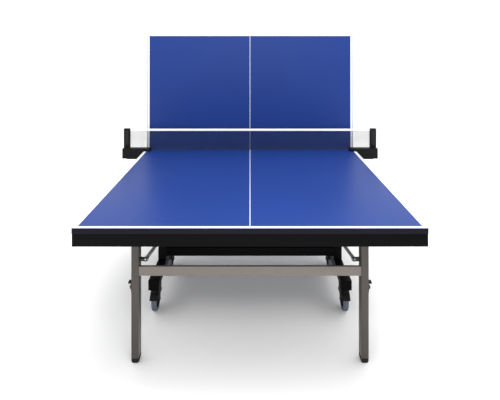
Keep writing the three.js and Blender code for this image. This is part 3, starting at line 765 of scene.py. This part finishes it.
def folded_tape():
    """A strip of webbing folded over the net's top edge: two legs and a round fold, one wall thick."""
    half_y = (tape_high.y - tape_low.y) / 2
    fold = tape_high.z - half_y
    outer = [(net_y - half_y, tape_low.z)] + arc((net_y, fold), half_y, 180, 0, 10)
    outer += [(net_y + half_y, tape_low.z)]
    inner = [(net_y + half_y - TAPE_WALL, tape_low.z)]
    inner += arc((net_y, fold), half_y - TAPE_WALL, 0, 180, 10)
    inner += [(net_y - half_y + TAPE_WALL, tape_low.z)]
    return plate(outer + inner, tape_high.x - tape_low.x)


def stitches():
    pitch, long, wide = 0.009, 0.006, 0.0009
    count = int((tape_high.x - tape_low.x - 0.02) / pitch)
    bm = bmesh.new()
    z = tape_low.z + 0.0032
    for i in range(count):
        x = -count * pitch / 2 + pitch * i
        for y in (tape_low.y, tape_high.y):
            thread_bar(bm, (x, y - 0.00035, z - wide / 2), (x + long, y + 0.00035, z + wide / 2))
    return bm


stitch_thread = finish("stitch_thread", (0.62, 0.63, 0.65), roughness=0.8, grain=0.2)
UNTURNED = Matrix.Identity(4)
tape = piece("net_top_tape", folded_tape(), UNTURNED, "near_top", [tape_white], ["net_tape"])
seam = piece("net_tape_stitches", stitches(), Matrix.Identity(4), "near_top", [stitch_thread])

CORD_R = 0.0022
cord_line = turned([(0, -0.5), (1, -0.5), (1, 0.5), (0, 0.5)], 12, "X")
cord_line.transform(Matrix.Diagonal((NET_WIDE, CORD_R, CORD_R, 1)))
cord_line = moved(cord_line, (0, net_y, sheet_low.z + CORD_R))
foot_cord = piece("net_foot_cord", cord_line, Matrix.Identity(4), "near_top", [net_dark])

# %% [markdown]
# Seen flat, the threads of the net cover only part of its rectangle.


# %% [markdown]
# ## Net posts and clamps
# The black post stands on a clamp that grips the board from below with a thumb screw. A lighter
# strip, a painted highlight on the black, runs up the front and back of the post, and a cap closes its top.

# %% Post strips of painted highlight
post_low, post_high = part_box("net_post_right")
screw_low, screw_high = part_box("net_screw_right")
POST_IN = sheet_high.x + 0.0003
POST_OUT = post_high.x
POST_HALF_D = 0.013
CLAMP_Y = (screw_low.y + screw_high.y) / 2
SCREW_X = (screw_low.x + screw_high.x) / 2


# Painted highlight: lighter grey strips on the front and back faces of the post stand in for light catching
# the black post.
def painted_post_highlights(sign):
    middle = (POST_IN + POST_OUT) / 2
    half_w = (POST_OUT - POST_IN) / 2
    strips = []
    for y in (net_y - POST_HALF_D - 0.0006, net_y + POST_HALF_D + 0.0006):
        low = (sign * middle - half_w + 0.009, y - 0.0012, surface_height + 0.024)
        high = (sign * middle + half_w - 0.009, y + 0.0012, post_high.z - 0.010)
        strips.append(block(low, high, 0.0008))
    return together(strips)


def post_cap(sign):
    middle = sign * (POST_IN + POST_OUT) / 2
    half_w = (POST_OUT - POST_IN) / 2 - 0.0004
    low = (middle - half_w, net_y - POST_HALF_D + 0.0003, post_high.z - 0.006)
    high = (middle + half_w, net_y + POST_HALF_D - 0.0003, post_high.z + 0.0012)
    return block(low, high, 0.0024, 3)


def clamp_ribs(sign):
    """Stiffening ribs on the near face of the clamp, in place of a plain slab."""
    ribs = []
    inner, outer = HALF_WIDTH + 0.014, POST_IN + 0.004
    count = 5
    for i in range(count):
        x = sign * (inner + (outer - inner) * i / (count - 1))
        low = (x - 0.0014, post_low.y - 0.0014, post_low.z + 0.006)
        high = (x + 0.0014, post_low.y + 0.002, surface_height + 0.014)
        ribs.append(block(low, high, 0.0007))
    return together(ribs)


def thumb_screw():
    """The lobed knob of a clamp screw, drawn from its foot."""
    lobes, steps = 6, 48
    knob = bmesh.new()
    rings = []
    for height, scale in ((0, 0.86), (0.002, 0.97), (0.016, 1.0), (0.019, 0.93), (0.020, 0.6)):
        ring = []
        for i in range(steps):
            angle = 2 * math.pi * i / steps
            radius = 0.0112 * scale * (1 + 0.07 * math.cos(lobes * angle))
            ring.append(knob.verts.new((radius * math.cos(angle), radius * math.sin(angle), height)))
        rings.append(ring)
    for one, two in zip(rings, rings[1:]):
        ring_faces(knob, one, two)
    knob.faces.new(rings[0])
    knob.faces.new(rings[-1])
    bmesh.ops.recalc_face_normals(knob, faces=knob.faces)
    return knob


def screw_rod():
    tall = screw_high.z - screw_low.z
    profile = [(0, 0.0195)]
    turns = 13
    for i in range(turns):
        z = 0.0195 + 0.0165 * i / turns
        profile += [(0.0049, z), (0.0042, z + 0.0165 / turns / 2)]
    profile += [(0.0049, 0.0368), (0.0092, 0.0372), (0.0098, 0.0385), (0.0098, tall - 0.001)]
    profile += [(0.0090, tall), (0, tall)]
    return turned(profile, 28, "Z")


for sign, label in ((-1, "left"), (1, "right")):
    whole = Matrix.Identity(4)
    # The post strips are a painted highlight.
    piece(f"post_highlight_strip_{label}", painted_post_highlights(sign), whole, "near_top", [post_highlight_grey])
    piece(f"post_cap_{label}", post_cap(sign), whole, "near_top", [moulded_black])
    piece(f"clamp_ribs_{label}", clamp_ribs(sign), whole, "near_top", [moulded_black])
    at = Matrix.Translation((sign * SCREW_X, CLAMP_Y, screw_low.z))
    screw = f"net_screw_{label}"
    piece(f"clamp_knob_{label}", thumb_screw(), at, screw, [moulded_black], [screw])
    piece(f"clamp_rod_{label}", screw_rod(), at, screw, [bolt_steel])

# %% [markdown]
# ## Floor and light
# A white sweep and big soft lights, as in a product studio. The sky lights everything evenly, a
# broad lamp overhead pulls the soft shadow under the table, a low one by the camera gives the
# upright board its pale bloom, and a third clears the floor in front of the legs.

# %% Floor
bpy.ops.mesh.primitive_plane_add(size=60)
floor = bpy.context.object
floor.name = "floor"
floor_white = finish("floor_white", (0.96, 0.96, 0.96), drift=0.0, roughness=0.9, grain=0.0)
floor.data.materials.append(floor_white)

# %% Lights
world = bpy.data.worlds.new("studio")
world.use_nodes = True
world.node_tree.nodes["Background"].inputs["Color"].default_value = (1, 1, 1, 1)
world.node_tree.nodes["Background"].inputs["Strength"].default_value = 1.12
bpy.context.scene.world = world


def soft_lamp(name, place, aim, size, power):
    data = bpy.data.lights.new(name, "AREA")
    data.shape = "RECTANGLE"
    data.size, data.size_y = size
    data.energy = power
    lamp = bpy.data.objects.new(name, data)
    lamp.location = place
    direction = Vector(aim) - Vector(place)
    lamp.rotation_euler = direction.to_track_quat("-Z", "Y").to_euler()
    bpy.context.scene.collection.objects.link(lamp)


soft_lamp("overhead", (0.7, -0.4, 4.2), (0, 0, 0.5), (3.4, 3.0), 120)
soft_lamp("by_camera", (0.1, -5.2, 1.5), (0, 0.3, 1.4), (1.4, 0.9), 20)
soft_lamp("floor_wash", (0, -3.2, 2.6), (0, -1.9, 0), (3.0, 1.0), 45)
bpy.context.scene.view_settings.view_transform = "Standard"
